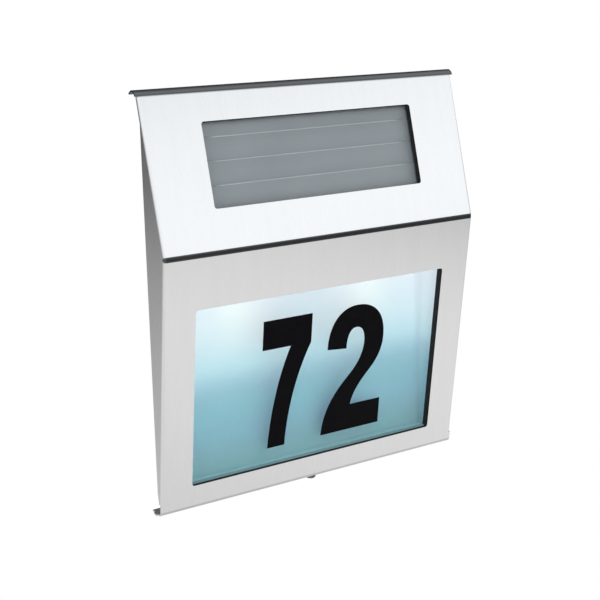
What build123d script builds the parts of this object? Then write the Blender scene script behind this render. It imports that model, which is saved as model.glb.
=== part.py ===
from build123d import *
import os
from math import atan2, cos, hypot, pi, radians, sin, tan

# A wall-held house number light. X runs to the right as seen from the front, the front faces -Y,
# Z is up. The origin is the middle of the four wall holes, in the plane of the wall.

# folded cover
cover_width = 178.0         # across the two side flanges
lower_length = 131.5        # lower face, from the fold's corner down to the bottom corner
upper_length = 74.0         # slanted face, from the fold's corner up to where the hook starts
lower_lean = 7.0            # the lower face runs back towards its bottom, degrees
upper_slant = 15.5          # the upper face runs back towards its top, degrees
hook_depth = 12.2           # from the wall to where the hook starts
cover_drop = 105.0          # from the middle of the wall holes down to the cover's bottom
sheet = 0.8
fold_radius = 6.5
bottom_radius = 2.5
side_radius = 1.5
hook_radius = 3.5
hook_fall = 30.0            # the hook's lip falls towards the wall, degrees
hook_lip = 2.0              # flat of the lip after its bend
flange_depth = 9.0          # bottom flange, front to back
flange_overhang = 1.0       # hook and bottom flange run past the side flanges
flange_corner = 3.5
side_depth = 18.3           # from the fold back to the side flange's rear edge
side_strip = 1.8            # width of the side flange along its upper end
side_end = 2.0              # width of the side flange at its lower end
side_notch = 6.0            # height of the corner notch above the bottom corner
side_cut = 6.0              # height of the slanting cut at the side flange's lower end

# what is left of each face round its window
solar_side_margin = 29.6
solar_top_margin = 13.5
solar_bottom_margin = 20.1
number_side_margin = 16.8
number_top_margin = 26.6
number_bottom_margin = 12.8
window_corner = 1.4

# what lies behind the windows
number_gasket = 3.3
solar_gasket = 2.2
gasket_rim = 3.8            # how far a gasket reaches past its window
panel = 2.5
solar_glass = 1.2
solar_cell = 0.4
solar_backing = 1.5
module_top_rim = 4.9        # past the window's upper edge
cell_strips = 4
cell_gap = 0.5
cell_side_margin = 2.0      # in from the module's sides
cell_top_reach = 4.3        # past the window's upper edge
cell_bottom_reach = 0.2     # past the window's lower edge

# welded studs and their nuts
stud_radius = 1.5
stud_length = 11.0
weld = 0.75                 # height of the weld collar, and its reach past the stud
stud_inset_upper = 10.5     # in from the side of the cover
stud_inset_lower = 7.5
stud_step_upper = 2.2       # in from the ends of the window beside it
stud_step_lower = 15.0
nut_across = 5.5
nut_height = 2.4
ear = 2.0
ear_reach = 4.2
ear_length = 10.0
nut_gap = 0.55              # between a nut's flat and the rib beside it
stud_clearance = 0.2

# moulded light box
box_inset = 13.0            # in from the side of the cover
box_wall = 1.6
box_top_reach = 6.1         # past the number window
box_bottom_reach = 3.9
box_rear = -4.0
rim = 1.8
rim_reach = 1.2

# light board and its two lights
light_board = 1.2
light_board_end = 7.0       # past each light
light_board_width = 11.0
light_board_gap = 1.5
light_inset = 37.0          # in from the side of the light box
light_depth = 14.5
light_radius = 2.5
light_flange = 2.9
light_length = 8.6
light_clearance = 0.2
hook_width = 1.6
hook_length = 5.5           # of the board's hooks and seats, along the board's width

# moulded battery housing
case_inset = 22.0           # in from the side of the cover
case_wall = 1.6
case_round = 0.96           # along the edges of its back
case_rear = -5.2
case_floor_drop = 13.2      # below the fold
case_top_reach = 0.7        # past the solar module's upper edge
module_ledge = 3.0

# cell, contacts and door
cell_radius = 7.1
cell_length = 49.2
cell_nub_radius = 2.75
cell_nub = 1.3
cell_round = 0.5
cell_drop = 1.2             # below the fold
cell_play = 0.3
spring_wire = 0.45
spring_radius = 4.0
spring_taper = 0.4          # share of its radius that the spring loses towards the cell
spring_turns = 3
spring_points = 8           # along each turn
spring_sink = 0.045         # how far the first turn's wire is sunk into its plate
spring_length = 5.6
contact = 0.4
contact_height = 11.0
bulkhead = 1.6
bulkhead_gap = 1.1          # from the housing's side wall
saddle_inset = 10.5
saddle = 2.0
saddle_setback = 2.84       # behind the bulkheads' front, and below the cell's axis
door = 1.3
door_travel = 19.0
door_margin = 2.2
door_gap = 0.3
rail_web = 2.0
rail_lip = 1.0
rail_overlap = 1.5
grip_ridges = 3
grip_height = 0.7

# circuit board, parts and switch
board = 1.6
board_height = 28.4
board_drop = 8.9            # its lower edge, below the fold
board_left_gap = 8.0
board_right_gap = 5.2
board_standoff = 2.7
post_radius = 2.7
post_inset_x = 5.5
post_inset_z = 4.2
screw_shank = 1.0
screw_head_radius = 2.1
screw_head = 1.5
screw_head_round = 0.9
screw_grip = 2.2            # depth of the pilot hole in the post
screw_relief = 0.44         # left free at the bottom of that hole
chip_size = (9.0, 7.0, 1.7)
coil_radius = 4.0
coil_height = 5.0
coil_waist = 3.0
coil_flange = 1.0
coil_inset = 12.0
coil_height_on_board = 10.4
capacitor_radius = 3.2
capacitor_height = 7.5
capacitor_round = 0.6
capacitor_on_board = (17.0, 7.4)
switch_size = (8.8, 4.6, 2.5)
switch_on_board = (30.0, 15.4)
chip_above_switch = 6.5
knob_size = (2.8, 2.4)
knob_travel = 3.0
knob_sink = 1.4
knob_proud = 1.2
knob_gap = 0.2
knob_round = 0.4
wire_radius = 0.6
wire_pitch = 2.2
wire_bend = 1.32            # inner bend of a lead, at its axis
solar_wire_on_board = 18.0
light_wire_on_board = 10.0
solar_wire_step = 13.9      # up from the solar window's lower edge

# wall plate, screw and nut
plate = 1.2
plate_inset = 27.0          # in from the side of the cover
plate_bend = 2.0
rail_inset = 6.0            # in from the side of the plate
rail_gap = 0.3              # under the hook
shelf_clearance = 0.6       # over the housing
wall_hole_radius = 2.25
wall_hole_spacing = (100.0, 150.0)
tongue_half_width = 14.0
tongue_gap = 1.0            # over the cover's bottom flange
tongue_end = 3.0            # past the screw
screw_setback = 4.5         # behind the cover's bottom corner
screw_radius = 1.5
screw_play = 0.3
press_nut_radius = 3.0
press_nut_height = 3.0
press_nut_edge = 0.4
head_radius = 2.75
head_height = 1.7
head_round = 1.19
head_gap = 0.3
screw_tip = 0.5             # chamfered end of the shank, past the nut
recess_width = 0.8
recess_depth = 1.02
recess_reach = 1.5125       # each arm, from the axis
thread_clearance = 0.06

overcut = 1.0               # how far a cut runs past the surface it opens

# worked-out places: (y, z) pairs in the plane seen from the side
bottom_z = -cover_drop
lean = radians(lower_lean)
slant = radians(upper_slant)
fold = (-hook_depth - upper_length * sin(slant), bottom_z + lower_length * cos(lean))


def lower_point(drop, depth):
    """A point this far down the lower face and this far behind its outer surface."""
    y = fold[0] + drop * sin(lean) + depth * cos(lean)
    z = fold[1] - drop * cos(lean) + depth * sin(lean)
    return y, z


def upper_point(rise, depth):
    """A point this far up the slanted face and this far behind its outer surface."""
    y = fold[0] + rise * sin(slant) + depth * cos(slant)
    z = fold[1] + rise * cos(slant) - depth * sin(slant)
    return y, z


lower_plane = Plane(origin=(0, *fold), x_dir=(1, 0, 0), z_dir=(0, -cos(lean), -sin(lean)))
upper_plane = Plane(origin=(0, *fold), x_dir=(1, 0, 0), z_dir=(0, -cos(slant), sin(slant)))

hook_turn = radians(90 + hook_fall) - slant
hook_corner = upper_point(upper_length + hook_radius * tan(hook_turn / 2), 0)
lip_length = hook_radius * tan(hook_turn / 2) + hook_lip
lip_end = (hook_corner[0] + lip_length * cos(radians(hook_fall)),
           hook_corner[1] - lip_length * sin(radians(hook_fall)))
hook_centre = upper_point(upper_length, hook_radius)
bottom_corner = lower_point(lower_length, 0)
flange_end = (bottom_corner[0] + flange_depth, bottom_z)
screw_y = bottom_corner[0] + screw_setback

solar_window = (cover_width - 2 * solar_side_margin,
                upper_length - solar_top_margin - solar_bottom_margin)
number_window = (cover_width - 2 * number_side_margin,
                 lower_length - number_top_margin - number_bottom_margin)
glass_depth = sheet + solar_gasket
panel_depth = sheet + number_gasket
panel_back = panel_depth + panel
module_back = glass_depth + solar_glass + solar_cell + solar_backing
window_top_rise = upper_length - solar_top_margin
cell_low = solar_bottom_margin - cell_bottom_reach
cell_high = window_top_rise + cell_top_reach
cell_half_width = solar_window[0] / 2 + gasket_rim - cell_side_margin
window_bottom_drop = lower_length - number_bottom_margin
stud_x_upper = cover_width / 2 - stud_inset_upper
stud_x_lower = cover_width / 2 - stud_inset_lower
stud_rises = (solar_bottom_margin + stud_step_upper, window_top_rise - stud_step_upper)
stud_drops = (number_top_margin + stud_step_lower, window_bottom_drop - stud_step_lower)
box_half_width = cover_width / 2 - box_inset
box_top_drop = number_top_margin - box_top_reach
box_bottom_drop = window_bottom_drop + box_bottom_reach
light_x = box_half_width - light_inset
light_board_half = light_x + light_board_end
case_half_width = cover_width / 2 - case_inset
case_floor = fold[1] - case_floor_drop
case_inner_rear = case_rear - case_wall
cell_y = case_inner_rear - cell_play - cell_radius
cell_z = fold[1] - cell_drop
spring_left = case_wall - case_half_width + bulkhead_gap + bulkhead + contact
cell_left = spring_left + spring_length
cell_right = cell_left + cell_length + cell_nub
saddle_xs = (cell_left + saddle_inset, cell_left + cell_length - saddle_inset)
board_left = cell_right + contact + bulkhead + board_left_gap
board_right = case_half_width - case_wall - board_right_gap
board_low = fold[1] - board_drop
board_high = board_low + board_height
board_rear = case_inner_rear - board_standoff
board_front = board_rear - board
posts = ((board_left + post_inset_x, board_high - post_inset_z),
         (board_right - post_inset_x, board_low + post_inset_z))
switch_x = board_left + switch_on_board[0]
switch_z = board_low + switch_on_board[1]
solar_wire_x = board_left + solar_wire_on_board
light_wire_x = board_left + light_wire_on_board
plate_half_width = cover_width / 2 - plate_inset
tongue_z = bottom_z + sheet + tongue_gap
tongue_top = tongue_z + plate


# shared ways of making a shape
def moved(point, direction, distance):
    """A (y, z) point moved along a direction."""
    return point[0] + direction[0] * distance, point[1] + direction[1] * distance


def offset_line(points, distance):
    """The line of points shifted to the left of its travel, with mitred corners."""
    ways = []
    for a, b in zip(points, points[1:]):
        length = hypot(b[0] - a[0], b[1] - a[1])
        ways.append(((b[0] - a[0]) / length, (b[1] - a[1]) / length))
    shifted = [moved(points[0], (-ways[0][1], ways[0][0]), distance)]
    for corner, before, after in zip(points[1:], ways, ways[1:]):
        half = tan((atan2(after[1], after[0]) - atan2(before[1], before[0])) / 2)
        side = moved(corner, (-before[1], before[0]), distance)
        shifted.append(moved(side, before, -distance * half))
    shifted.append(moved(points[-1], (-ways[-1][1], ways[-1][0]), distance))
    return shifted


def left_turn(before, corner, after):
    """True where the line turns left at its corner."""
    ahead = (corner[0] - before[0]) * (after[1] - corner[1])
    aside = (corner[1] - before[1]) * (after[0] - corner[0])
    return ahead > aside


def bent_line(points, radii):
    """Straight runs joined by tangent arcs; a run that its arc uses up is left out."""
    pieces = []
    start = points[0]
    for before, corner, after, radius in zip(points, points[1:], points[2:], radii):
        run_in = hypot(corner[0] - before[0], corner[1] - before[1])
        run_out = hypot(after[0] - corner[0], after[1] - corner[1])
        way_in = ((corner[0] - before[0]) / run_in, (corner[1] - before[1]) / run_in)
        way_out = ((after[0] - corner[0]) / run_out, (after[1] - corner[1]) / run_out)
        turn = atan2(way_in[0] * way_out[1] - way_in[1] * way_out[0],
                     way_in[0] * way_out[0] + way_in[1] * way_out[1])
        reach = radius * tan(abs(turn) / 2)
        bow = radius * (1 / cos(turn / 2) - 1)
        inward = (way_out[0] - way_in[0], way_out[1] - way_in[1])
        middle = moved(corner, inward, bow / hypot(*inward))
        arc_start = moved(corner, way_in, -reach)
        arc_end = moved(corner, way_out, reach)
        if hypot(arc_start[0] - start[0], arc_start[1] - start[1]) > 0.001:
            pieces.append(Line(start, arc_start))
        pieces.append(ThreePointArc(arc_start, middle, arc_end))
        start = arc_end
    if hypot(points[-1][0] - start[0], points[-1][1] - start[1]) > 0.001:
        pieces.append(Line(start, points[-1]))
    return Curve() + pieces


def bent_sheet(points, radii, thickness, half_width):
    """A strip of bent sheet: one surface follows points, the other lies to their left."""
    inner_radii = []
    for before, corner, after, radius in zip(points, points[1:], points[2:], radii):
        side = -thickness if left_turn(before, corner, after) else thickness
        inner_radii.append(radius + side)
    inner = offset_line(points, thickness)
    ends = [Line(points[0], inner[0]), Line(points[-1], inner[-1])]
    outline = bent_line(points, radii) + bent_line(inner, inner_radii) + ends
    return extrude(Plane.YZ * make_face(outline), half_width, both=True)


def side_prism(points, half_width):
    """A polygon seen from the side, carried across the sign to both sides of its middle."""
    return extrude(Plane.YZ * make_face(Polyline(*points, close=True)), half_width, both=True)


def block(plane, low, high):
    """A box between two corners given in a plane's own x, y and z."""
    size = [b - a for a, b in zip(low, high)]
    middle = [(a + b) / 2 for a, b in zip(low, high)]
    return plane * Pos(*middle) * Box(*size)


def window_cut(plane, width, low, high, corner, top, bottom):
    """A rounded rectangle cut between two heights along a plane's z."""
    middle = (low + high) / 2
    outline = RectangleRounded(width, high - low, corner)
    return extrude(plane * Pos(0, middle, bottom) * outline, top - bottom)


def upright(point, radius, length, direction):
    """A round bar that starts at a point and runs along a direction."""
    return extrude(Plane(origin=point, z_dir=direction) * Circle(radius), length)


def both_sides(shape):
    """A shape and its mirror image on the other side of the sign."""
    return shape + mirror(shape, about=Plane.YZ)


def front_edges(solid, half_width, depth):
    """Edges at both sides that follow the folded face, at a depth behind its outer surface."""
    chosen = []
    for edge in solid.edges():
        middle = edge.position_at(0.5)
        at_side = abs(abs(middle.X) - half_width) < 0.01
        from_lower = -lower_plane.to_local_coords(middle).Z
        from_upper = -upper_plane.to_local_coords(middle).Z
        if at_side and abs(min(from_lower, from_upper) - depth) < fold_radius * 0.05:
            chosen.append(edge)
    return chosen


def fold_edge(solid):
    """The edge across the sign at the fold, the furthest forward of all."""
    return solid.edges().filter_by(Axis.X).sort_by(Axis.Y)[0]


# the cover
def cover_channel():
    """Face and side flanges: a prism with rounded front edges, hollowed from behind."""
    start = lower_length - side_notch / cos(lean)
    rear_y = fold[0] + side_depth
    strip_low = upper_point(0, side_strip)
    strip_turn = (rear_y - strip_low[0]) / sin(slant)
    outline = [lower_point(start, 0), fold, upper_point(upper_length, 0)]
    outline.append(upper_point(upper_length, side_strip))
    outline.append(upper_point(strip_turn, side_strip))
    outline.append((rear_y, lower_point(start, 0)[1] + side_cut))
    outline.append(lower_point(start, side_end))
    outer = side_prism(outline, cover_width / 2)
    outer = fillet(fold_edge(outer), fold_radius)
    outer = fillet(front_edges(outer, cover_width / 2, 0), side_radius)
    beyond = 20.0
    front = [upper_point(upper_length + beyond, 0), fold, lower_point(lower_length + beyond, 0)]
    hollow_line = offset_line(front, sheet)
    hollow_line.append((beyond, hollow_line[-1][1]))
    hollow_line.append((beyond, hollow_line[0][1]))
    hollow = side_prism(hollow_line, cover_width / 2 - sheet)
    hollow = fillet(fold_edge(hollow), fold_radius - sheet)
    hollow_sides = front_edges(hollow, cover_width / 2 - sheet, sheet)
    hollow = fillet(hollow_sides, side_radius - sheet)
    return outer - hollow


def front_cover():
    """The whole folded sheet with its hook, bottom flange, windows and screw slot."""
    start = lower_length - side_notch / cos(lean)
    wide = cover_width / 2 + flange_overhang
    hook_line = [lip_end, hook_corner, upper_point(upper_length, 0)]
    hook = bent_sheet(hook_line, [hook_radius], sheet, wide)
    bottom_line = [lower_point(start, 0), bottom_corner, flange_end]
    bottom = bent_sheet(bottom_line, [bottom_radius], sheet, cover_width / 2)
    flat_y = bottom_corner[0] + bottom_radius
    flange = block(Plane.XY, (-wide, flat_y, bottom_z), (wide, flange_end[0], bottom_z + sheet))
    flange = chamfer(flange.edges().filter_by(Axis.Z).group_by(Axis.Y)[-1], flange_corner)
    cover = cover_channel() + hook + bottom + flange
    cover -= window_cut(upper_plane, solar_window[0], solar_bottom_margin, window_top_rise,
                        window_corner, sheet, -2 * sheet)
    cover -= window_cut(lower_plane, number_window[0], -window_bottom_drop,
                        -number_top_margin, window_corner, sheet, -2 * sheet)
    slot = screw_radius + screw_play
    below = Plane.XY.offset(bottom_z - sheet)
    screw_slot = extrude(below * Pos(0, screw_y, 0) * Circle(slot), 3 * sheet)
    screw_slot += block(below, (-slot, screw_y, 0), (slot, flange_end[0] + sheet, 3 * sheet))
    return cover - screw_slot


def stud_places():
    """Each stud's foot on the cover's inner surface, as (plane, x, y) in that plane."""
    places = []
    for x in (-stud_x_upper, stud_x_upper):
        for rise in stud_rises:
            places.append((upper_plane, x, rise))
    for x in (-stud_x_lower, stud_x_lower):
        for drop in stud_drops:
            places.append((lower_plane, x, -drop))
    return places


def cover_studs():
    """Studs welded to the back of the cover, each with a flat weld collar."""
    studs = []
    for plane, x, y in stud_places():
        foot = plane * Pos(x, y, -sheet - stud_length)
        collar = plane * Pos(x, y, -sheet - weld)
        stud = extrude(foot * Circle(stud_radius), stud_length)
        stud += extrude(collar * Circle(stud_radius + weld), weld)
        studs.append(stud)
    return Compound(children=studs)


def ear_back(plane):
    """How far the back of the ears lies behind a face's outer surface."""
    return (module_back if plane is upper_plane else panel_back) + ear


def stud_nuts():
    """Hexagon nuts that hold the ears of both mouldings on the studs."""
    nuts = []
    for plane, x, y in stud_places():
        seat = plane * Pos(x, y, -ear_back(plane) - nut_height)
        outline = RegularPolygon(nut_across / 2, 6, major_radius=False)
        outline -= Circle(stud_radius + thread_clearance)
        nuts.append(extrude(seat * outline, nut_height))
    return Compound(children=nuts)


# window stacks
def window_frame(plane, window, low, top, bottom):
    """A foam frame round a window, between two depths."""
    high = low + window[1]
    outer = block(plane, (-window[0] / 2 - gasket_rim, low - gasket_rim, bottom),
                  (window[0] / 2 + gasket_rim, high + gasket_rim, top))
    return outer - window_cut(plane, window[0], low, high, window_corner,
                              top + overcut, bottom - overcut)


def window_plate(plane, window, low, top, thickness, top_rim):
    """A plate that covers a window and its gasket."""
    high = low + window[1] + top_rim
    return block(plane, (-window[0] / 2 - gasket_rim, low - gasket_rim, top - thickness),
                 (window[0] / 2 + gasket_rim, high, top))


def solar_cells():
    """Equal cell strips one above the other, with a thin gap between each two."""
    pitch = (cell_high - cell_low + cell_gap) / cell_strips
    top = -glass_depth - solar_glass
    strips = []
    for index in range(cell_strips):
        y = cell_low + index * pitch
        strips.append(block(upper_plane, (-cell_half_width, y, top - solar_cell),
                            (cell_half_width, y + pitch - cell_gap, top)))
    return Compound(children=strips)


def solar_cover():
    """Clear cover with a pocket behind it that the cell strips lie in."""
    cover = window_plate(upper_plane, solar_window, solar_bottom_margin, -glass_depth,
                         solar_glass + solar_cell, module_top_rim)
    top = -glass_depth - solar_glass
    pocket = block(upper_plane, (-cell_half_width, cell_low, top - solar_cell),
                   (cell_half_width, cell_high, top))
    return cover - pocket


# light box
def wall_line(drop, y):
    """The point at depth y of a wall that stands square to the lower face."""
    depth = (y - lower_point(drop, 0)[0]) / cos(lean)
    return lower_point(drop, depth)


def lower_ears(drop):
    """A pair of ears on the light box, one to each side, with a hole for the stud."""
    low = (box_half_width - box_wall / 2, -drop - ear_length / 2, -panel_back - ear)
    high = (stud_x_lower + ear_reach, -drop + ear_length / 2, -panel_back)
    plate_shape = block(lower_plane, low, high)
    hole = lower_plane * Pos(stud_x_lower, -drop, -panel_back - 2 * ear)
    gusset = [(box_half_width - box_wall / 2, 0), (stud_x_lower - nut_across / 2 - nut_gap, 0),
              (box_half_width - box_wall / 2, -2 * ear)]
    end = Plane(origin=lower_plane.from_local_coords((0, -drop + ear_length / 2, -panel_back - ear)),
                x_dir=(1, 0, 0), z_dir=lower_plane.y_dir)
    flipped = [(x, -y) for x, y in gusset]
    rib = extrude(end * make_face(Polyline(*flipped, close=True)), -box_wall)
    plate_shape -= extrude(hole * Circle(stud_radius + stud_clearance), 3 * ear)
    return both_sides(plate_shape + rib)


def light_box():
    """White moulded tray: open to the panel, deeper at its top, with room for two lights."""
    outline = [lower_point(box_top_drop, panel_back), lower_point(box_bottom_drop, panel_back)]
    outline.append(wall_line(box_bottom_drop, box_rear))
    outline.append(wall_line(box_top_drop, box_rear))
    tray = side_prism(outline, box_half_width)
    tray = fillet(tray.edges().filter_by(Axis.X).group_by(Axis.Y)[-1], box_wall)
    low = (-box_half_width - rim_reach, -box_bottom_drop - rim_reach, -panel_back - rim)
    high = (box_half_width + rim_reach, -box_top_drop + rim_reach, -panel_back)
    tray += block(lower_plane, low, high)
    top = box_top_drop + box_wall
    bottom = box_bottom_drop - box_wall
    hollow = [lower_point(top, panel_back - sheet), lower_point(bottom, panel_back - sheet)]
    hollow.append(wall_line(bottom, box_rear - box_wall))
    hollow.append(wall_line(top, box_rear - box_wall))
    tray -= side_prism(hollow, box_half_width - box_wall)
    for drop in stud_drops:
        tray += lower_ears(drop)
    for x in (-light_x, light_x):
        above = light_plane() * Pos(x, 0, 0)
        tray -= extrude(above * Circle(light_radius + light_clearance), -box_top_drop)
    return tray + light_board_hooks()


def light_plane():
    """Plane under the light board, square to the lower face; its z points up the face."""
    drop = box_top_drop - light_board_gap
    origin = lower_plane.from_local_coords((0, -drop, -light_depth))
    return Plane(origin=origin, x_dir=(1, 0, 0), z_dir=lower_plane.y_dir)


def light_board_hooks():
    """Seats under the light board and a snap hook at each of its ends."""
    plane = light_plane()
    half = hook_length / 2
    seats = block(plane, (-hook_width, -half, -light_board_gap - box_wall / 2), (hook_width, half, 0))
    end = light_board_half + thread_clearance
    post_low = (end, -half, -light_board_gap - box_wall / 2)
    post_high = (end + hook_width, half, light_board + hook_width)
    nose_low = (end - hook_width / 2, -half, light_board + thread_clearance)
    hook = block(plane, post_low, post_high) + block(plane, nose_low, post_high)
    seat = block(plane, (end - 2 * hook_width, -half, -light_board_gap - box_wall / 2), (end, half, 0))
    return seats + both_sides(hook + seat)


def light_board_shape():
    """Narrow board over the light box that carries both lights."""
    half = light_board_width / 2
    return block(light_plane(), (-light_board_half, -half, 0), (light_board_half, half, light_board))


def light(x):
    """A round-nosed light that hangs from the board through the box's top wall."""
    down = Plane(origin=light_plane().from_local_coords((x, 0, 0)), x_dir=(1, 0, 0),
                 z_dir=-lower_plane.y_dir)
    straight = light_length - light_radius
    body = extrude(down * Circle(light_radius), straight)
    body += extrude(down * Circle(light_flange), light_board_gap - light_clearance)
    return body + down * Pos(0, 0, straight) * Sphere(light_radius)


# battery housing
def case_line(depth):
    """Front line of the housing, from its top to its floor, at a depth behind the cover."""
    front = [upper_point(upper_length, 0), fold, lower_point(lower_length, 0)]
    top, corner, bottom = offset_line(front, depth)
    case_top = upper_point(window_top_rise + module_top_rim + case_top_reach, module_back)[1]
    high = case_top - (depth - module_back)
    low = case_floor + (depth - module_back)
    along_top = (high - corner[1]) / (top[1] - corner[1])
    along_bottom = (low - corner[1]) / (bottom[1] - corner[1])
    upper_end = (corner[0] + (top[0] - corner[0]) * along_top, high)
    lower_end = (corner[0] + (bottom[0] - corner[0]) * along_bottom, low)
    return [upper_end, corner, lower_end]


def case_shell():
    """Wedge-shaped box with walls of one thickness all round."""
    outer_line = case_line(module_back)
    outer_line += [(case_rear, outer_line[-1][1]), (case_rear, outer_line[0][1])]
    shell = side_prism(outer_line, case_half_width)
    shell = fillet(shell.edges().filter_by(Axis.X).group_by(Axis.Y)[-1], case_round)
    inner_line = case_line(module_back + case_wall)
    inner_line += [(case_inner_rear, inner_line[-1][1]), (case_inner_rear, inner_line[0][1])]
    return shell - side_prism(inner_line, case_half_width - case_wall)


def upper_ears(rise):
    """A pair of ears on the housing with holes for the studs of the slanted face."""
    low = (case_half_width - case_wall / 2, rise - ear_length / 2, -module_back - ear)
    high = (stud_x_upper + ear_reach, rise + ear_length / 2, -module_back)
    ears = block(upper_plane, low, high)
    hole = upper_plane * Pos(stud_x_upper, rise, -module_back - 2 * ear)
    ears -= extrude(hole * Circle(stud_radius + stud_clearance), 3 * ear)
    return both_sides(ears)


def door_box(margin, y_low, y_high, rise=0.0):
    """A box behind the cell's place, larger than the hatch by a margin on each side."""
    low = (cell_left - cell_play - margin, y_low, cell_z - cell_radius - margin + rise)
    high = (cell_right + cell_play + margin, y_high, cell_z + cell_radius + margin + rise)
    return low, high


def door_rails():
    """Two upright rails that the door slides in, and the ledge it stands on."""
    low, high = door_box(door_margin, case_rear, case_rear)
    base_z = low[2] - door_gap
    top_z = high[2] + door_travel
    lip_y = case_rear + door_gap + door + door_gap
    rails = []
    for x, inward in ((low[0] - door_gap, 1), (high[0] + door_gap, -1)):
        web = sorted((x, x - inward * rail_web))
        lip = sorted((x - inward * rail_web, x + inward * (rail_overlap + door_gap)))
        web_low = (web[0], case_rear - case_wall / 2, base_z)
        rails.append(block(Plane.XY, web_low, (web[1], lip_y + rail_lip, top_z)))
        rails.append(block(Plane.XY, (lip[0], lip_y, base_z), (lip[1], lip_y + rail_lip, top_z)))
    reach = door_gap + rail_web
    ledge_low = (low[0] - reach, case_rear - case_wall / 2, base_z - rail_web)
    rails.append(block(Plane.XY, ledge_low, (high[0] + reach, lip_y + rail_lip, base_z)))
    return Part() + rails


def cell_bulkheads():
    """Walls at both ends of the cell that carry its contacts, and saddles under it."""
    floor = case_floor + case_wall / 2
    rear = case_inner_rear + case_wall / 2
    front = cell_y - cell_radius
    top = cell_z + cell_radius
    right = cell_right + contact
    left = spring_left - contact
    walls = block(Plane.XY, (right, front, floor), (right + bulkhead, rear, top))
    walls += block(Plane.XY, (left - bulkhead, front, floor), (left, rear, top))
    for x in saddle_xs:
        rib = block(Plane.XY, (x - saddle / 2, front + saddle_setback, floor),
                    (x + saddle / 2, rear, cell_z - saddle_setback))
        bed = upright((x - saddle, cell_y, cell_z), cell_radius + cell_play, 2 * saddle, (1, 0, 0))
        walls += rib - bed
    return walls


def battery_housing():
    """Moulded case behind the solar module: hatch, rails, bulkheads, posts and ears."""
    case = case_shell()
    ledge = gasket_rim - module_ledge
    case -= window_cut(upper_plane, solar_window[0] + 2 * ledge, solar_bottom_margin - ledge,
                       window_top_rise + ledge, window_corner, overcut - module_back,
                       -module_back - 2 * case_wall)
    case += cell_bulkheads()
    hatch_low, hatch_high = door_box(0.0, case_inner_rear - cell_play, case_rear + overcut)
    case -= block(Plane.XY, hatch_low, hatch_high)
    case += door_rails()
    for x, z in posts:
        post = upright((x, case_rear - case_wall / 2, z), post_radius,
                       board_standoff + case_wall / 2, (0, -1, 0))
        pilot = upright((x, board_rear, z), screw_shank + thread_clearance, screw_grip, (0, 1, 0))
        case += post
        case -= pilot
    slot_half = knob_size[0] / 2 + knob_gap
    case -= block(Plane.XY, (switch_x - slot_half, case_inner_rear - overcut, switch_z - slot_half),
                  (switch_x + slot_half + knob_travel, case_rear + overcut, switch_z + slot_half))
    wire_half = wire_radius + wire_pitch
    wire_y = board_front - 2 * wire_pitch
    case -= block(Plane.XY, (light_wire_x - wire_half, wire_y, case_floor - overcut),
                  (light_wire_x + wire_half, board_front, case_floor + case_wall + overcut))
    for rise in stud_rises:
        case += upper_ears(rise)
    return case


def battery_door():
    """Flat door with grip ridges across its lower part."""
    y_low = case_rear + door_gap
    low, high = door_box(door_margin, y_low, y_low + door)
    shape = block(Plane.XY, low, high)
    ridge_left = (low[0] + high[0]) / 2 - cell_radius
    ridge_right = (low[0] + high[0]) / 2 + cell_radius
    for index in range(grip_ridges):
        z = low[2] + (index + 1) * 2 * grip_height + grip_height
        ridge = block(Plane.XY, (ridge_left, y_low + door / 2, z),
                      (ridge_right, y_low + door + grip_height, z + grip_height))
        shape += ridge
    return shape


def battery_cell():
    """Rechargeable cell lying across the housing, its raised end to the right."""
    can_left = (cell_left, cell_y, cell_z)
    can = upright(can_left, cell_radius, cell_length, (1, 0, 0))
    can = fillet(can.edges().filter_by(GeomType.CIRCLE), cell_round)
    nub = upright((cell_left + cell_length, cell_y, cell_z), cell_nub_radius, cell_nub, (1, 0, 0))
    return can + nub


def contact_spring():
    """Tapered wire coil that presses on the cell's flat end, with the plate it stands on."""
    half = contact_height / 2
    base = block(Plane.XY, (spring_left - contact, cell_y - half, cell_z - half),
                 (spring_left, cell_y + half, cell_z + half))
    start_x = spring_left + spring_wire - spring_sink
    rise = spring_length - 2 * spring_wire
    steps = spring_points * spring_turns
    points = []
    for step in range(steps + 1):
        share = step / steps
        radius = spring_radius * (1 - spring_taper * share)
        angle = 2 * pi * step / spring_points
        points.append((start_x + rise * share, cell_y + radius * cos(angle),
                       cell_z + radius * sin(angle)))
    path = Spline(*points)
    return base + sweep(Plane(origin=path @ 0, z_dir=path % 0) * Circle(spring_wire), path=path)


def contact_plate():
    """Flat contact in front of the right bulkhead."""
    half = contact_height / 2
    return block(Plane.XY, (cell_right, cell_y - half, cell_z - half),
                 (cell_right + contact, cell_y + half, cell_z + half))


# circuit
def circuit_board():
    """Board on two posts, upright behind the fold."""
    shape = block(Plane.XY, (board_left, board_front, board_low), (board_right, board_rear, board_high))
    for x, z in posts:
        start = (x, board_front - overcut, z)
        shape -= upright(start, screw_shank + stud_clearance, board + 2 * overcut, (0, 1, 0))
    return shape


def board_screws():
    """Two pan-head screws that hold the circuit board on its posts."""
    screws = []
    for x, z in posts:
        head = upright((x, board_front, z), screw_head_radius, screw_head, (0, -1, 0))
        head = fillet(head.edges().group_by(Axis.Y)[0], screw_head_round)
        shank = upright((x, board_front, z), screw_shank, board + screw_grip - screw_relief, (0, 1, 0))
        screws.append(head + shank)
    return Compound(children=screws)


def circuit_chip():
    """Flat black controller above the switch."""
    width, height, proud = chip_size
    z = switch_z + chip_above_switch
    return block(Plane.XY, (switch_x - width / 2, board_front - proud, z - height / 2),
                 (switch_x + width / 2, board_front, z + height / 2))


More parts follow.
